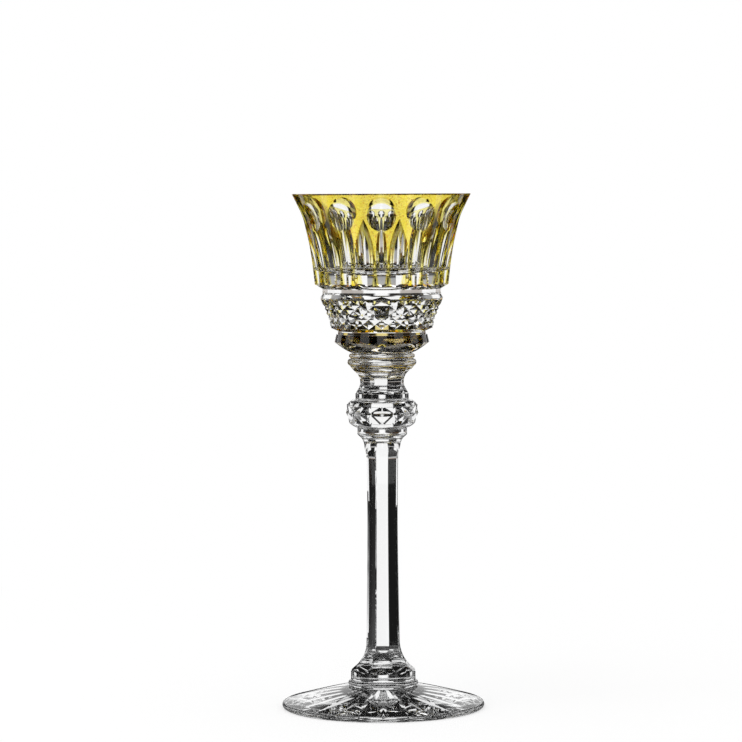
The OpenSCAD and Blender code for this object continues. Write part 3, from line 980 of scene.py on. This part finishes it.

# Screens in a ring round the glass, with dark gaps between them, that only glass mirrors and bends: in the
# sky they are light, and on the floor a painted reflection
screen_count = 8
screen_edge = (0.15, 0.4)
near_shift = -0.5
far_shift = 0.95
level_share = 0.4

# Soft steps on the floor: the distances from the axis, in metres, where each starts and ends
# The first three steps place painted light and shade under the foot that glass alone sees: painted white
# rays from a dark hub out to the foot's edge, then a painted dark ring out to its end
painted_ray_hub = (0.012, 0.014)
painted_star_end = (0.0285, 0.0295)
painted_dark_ring_end = (0.06, 0.07)
shadow_reach = (0.05, 0.35)
far_floor = (1.6, 2.2)
level_floor = (2.6, 3.2)

# Soft steps in the surround: how far up a ray goes, as a share of its way
level_sky = (0.03, 0.06)
ceiling_edge = (0.43, 0.53)

# Width of the painted white rays under the foot, as a soft step on the wave round the axis
painted_ray_edge = (-0.05, 0.35)
shadow_share = 0.45
floor_r = 6.0
floor_drop = 0.00005
floor_sides = 64


def way_round(tree, x, y, count):
    """Goes up to 1 at each of the given number of directions and down to -1 between them."""
    azimuth = tree.add("ShaderNodeMath", {"operation": "ARCTAN2"}, {0: x, 1: y})
    return (azimuth * count).unary("COSINE")


def screens(tree, x, y, far):
    """White share of the ring of screens, which are wider far off."""
    wave = way_round(tree, x, y, screen_count) + far * far_shift + near_shift
    return tree.ramp(wave, *screen_edge)


def paler(white, level):
    """The white share with its gaps made paler at the level of the horizon."""
    share = level * level_share
    return (1 - share) * white + share


def through_glass(tree):
    """1 for what glass mirrors or bends, and 0 for what the camera and soft light see."""
    path = tree.node("ShaderNodeLightPath")
    seen = Value(tree, path.outputs["Is Glossy Ray"]) + Value(tree, path.outputs["Is Transmission Ray"])
    return seen.unary("SIGN")


def make_floor():
    """A white floor with the glass's soft shadow, for the camera and for soft light. What glass mirrors and
    bends is painted on it instead, with no shadow:
    a painted reflection of the screens with dark and brown gaps, and under the foot a painted white ray for
    each ray of the star, inside a painted dark ring."""
    mesh = bpy.data.meshes.new("floor")
    corners = [(math.cos(a) * floor_r, math.sin(a) * floor_r, -floor_drop)
               for a in spread(0, 2 * math.pi, floor_sides)[:-1]]
    mesh.from_pydata(corners, [], [list(range(floor_sides))])
    floor = bpy.data.objects.new("floor", mesh)
    bpy.context.scene.collection.objects.link(floor)
    material = bpy.data.materials.new("pale_floor_painted_for_glass")
    material.use_nodes = True
    material.node_tree.nodes.clear()
    tree = Tree(material.node_tree)
    where = tree.add("ShaderNodeTexCoord", output=3)
    distance = tree.add("ShaderNodeVectorMath", {"operation": "LENGTH"}, {0: where}, output=1)
    split = tree.node("ShaderNodeSeparateXYZ", None, {0: where})
    x, y = (Value(tree, split.outputs[i]) for i in (0, 1))
    bent = through_glass(tree)
    matt = tree.add("ShaderNodeBsdfDiffuse", None, {"Color": PALE})
    glow = tree.add("ShaderNodeEmission", None, {"Color": WHITE, "Strength": 1.0})
    # The shadow is left out of what glass bends and mirrors, which sees the floor as pure white glow
    shaded = shadow_share * (1 - tree.ramp(distance, *shadow_reach)) * (1 - bent)
    cover = tree.add("ShaderNodeMixShader", None, {"Fac": shaded, 1: glow, 2: matt})
    far = tree.ramp(distance, *far_floor)
    ring = paler(screens(tree, x, y, far), tree.ramp(distance, *level_floor))
    # Painted gloom that glass alone sees: near-black near the glass, turning to a painted brown reflection
    # far off
    painted_gloom_tint = tree.mix(far, GLOOM, PAINTED_BROWN)
    painted_gloom = tree.add("ShaderNodeEmission", None, {"Color": painted_gloom_tint, "Strength": 1.0})
    # Painted light and shade under the foot that glass alone sees: a white ray for each ray of the star, a
    # dark hub, and a dark ring round the foot, then the painted screens further out
    rays = tree.ramp(way_round(tree, x, y, star_rays), *painted_ray_edge) * tree.ramp(distance, *painted_ray_hub)
    under = 1 - tree.ramp(distance, *painted_star_end)
    white = under * rays + (1 - under) * tree.ramp(distance, *painted_dark_ring_end) * ring
    # What glass bends or mirrors shows the painted glow and gloom; the camera and soft light see the plain
    # floor
    both = tree.add("ShaderNodeMixShader", None, {"Fac": bent * (1 - white), 1: cover, 2: painted_gloom})
    out = tree.node("ShaderNodeOutputMaterial")
    tree.tree.links.new(both.socket, out.inputs["Surface"])
    mesh.materials.append(material)


def make_world():
    """A white surround for what the camera sees and for soft light, and for what glass mirrors and
    bends the ring of screens under a dark ceiling."""
    world = bpy.data.worlds.new("studio")
    world.use_nodes = True
    world.node_tree.nodes.clear()
    tree = Tree(world.node_tree)
    way = tree.add("ShaderNodeTexCoord", output=0)
    split = tree.node("ShaderNodeSeparateXYZ", None, {0: way})
    x, y, z = (Value(tree, split.outputs[i]) for i in range(3))
    ring = screens(tree, x, y, 1.0) * (1 - tree.ramp(z, *ceiling_edge))
    white = paler(ring, 1 - tree.ramp(z, *level_sky))
    shade = tree.mix(1 - through_glass(tree) * (1 - white), GLOOM, WHITE)
    back = tree.node("ShaderNodeBackground", None, {"Color": shade, "Strength": 1.0})
    out = tree.node("ShaderNodeOutputWorld")
    tree.tree.links.new(back.outputs[0], out.inputs["Surface"])
    bpy.context.scene.world = world


def make_softbox():
    """A square soft lamp over the glass, from the front and the left."""
    place, aim = Vector((-0.35, -0.25, 0.9)), Vector((0, 0, 0.08))
    lamp = bpy.data.lights.new("overhead_softbox", "AREA")
    lamp.shape, lamp.size, lamp.energy = "SQUARE", 0.5, 1.2
    holder = bpy.data.objects.new("overhead_softbox", lamp)
    holder.location = place
    holder.rotation_euler = (aim - place).to_track_quat("-Z", "Y").to_euler()
    bpy.context.scene.collection.objects.link(holder)


def make_camera():
    """A long lens level with the rim. The glass stands a little right of the picture's middle."""
    pixels = 742
    scale_px_per_mm = 3.0325
    distance = 1030
    rim_row, axis_column, roll = 193.7, 382, math.radians(-0.25)
    focal_px = scale_px_per_mm * distance
    camera = bpy.data.cameras.new("camera")
    camera.sensor_width = 36
    camera.lens = camera.sensor_width * focal_px / pixels
    camera.clip_start, camera.clip_end = 0.01, 100
    holder = bpy.data.objects.new("camera", camera)
    bpy.context.scene.collection.objects.link(holder)
    holder.location = (0, -distance * MM, rim_z * MM)
    pan = math.atan((axis_column - pixels / 2) / focal_px)
    tilt = math.atan((pixels / 2 - rim_row) / focal_px)
    aim = Vector((-math.sin(pan), math.cos(pan), -math.tan(tilt)))
    holder.rotation_mode = "XYZ"
    holder.rotation_euler = aim.to_track_quat("-Z", "Y").to_euler()
    holder.rotation_euler.rotate_axis("Z", roll)
    bpy.context.scene.camera = holder


make_floor()
make_world()
make_softbox()
make_camera()

view = bpy.context.scene.view_settings
view.view_transform = "Standard"
cycles = bpy.context.scene.cycles
cycles.max_bounces = 32
cycles.transmission_bounces = 32
cycles.glossy_bounces = 16
cycles.transparent_max_bounces = 64
